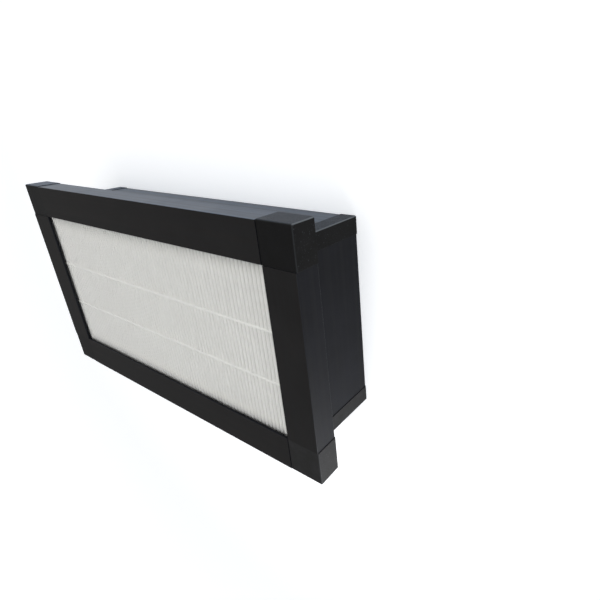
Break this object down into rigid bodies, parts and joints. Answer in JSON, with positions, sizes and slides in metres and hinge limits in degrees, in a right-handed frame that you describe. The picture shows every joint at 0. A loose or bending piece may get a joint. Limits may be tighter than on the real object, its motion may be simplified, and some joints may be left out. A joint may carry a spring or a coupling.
{
  "type": "ventilation filter",
  "caption": "Pleated panel filter: folded sheet with spacer beads, sealed into a stepped black plastic frame of profiles and corner mouldings.",
  "frame": {"origin": "middle of the rear rim, on the plane of the corner mouldings' rear faces", "axes": "+X along the long side, +Y along the short side, +Z from the rear rim to the wide front rim"},
  "size_m": [0.365, 0.2, 0.085],
  "materials": {
    "profile_plastic": "extruded black plastic, satin, with faint lines along its length",
    "corner_plastic": "moulded black plastic with a fine dull grain",
    "filter_sheet": "matt white fibre sheet, folded",
    "spacer_bead": "milky hot-melt beads, slightly glossy",
    "sealant": "cured pourable sealant"
  },
  "bodies": {
    "root": {"lower_profile": "profile_plastic", "right_profile": "profile_plastic", "upper_profile": "profile_plastic", "left_profile": "profile_plastic", "lower_left_corner": "corner_plastic", "lower_right_corner": "corner_plastic", "upper_right_corner": "corner_plastic", "upper_left_corner": "corner_plastic", "pleated_media": "filter_sheet", "front_bead_lower": "spacer_bead", "front_bead_upper": "spacer_bead", "rear_bead_lower": "spacer_bead", "rear_bead_upper": "spacer_bead", "upper_sealant": "sealant", "lower_sealant": "sealant", "left_sealant": "sealant", "right_sealant": "sealant"}
  },
  "joints": []
}
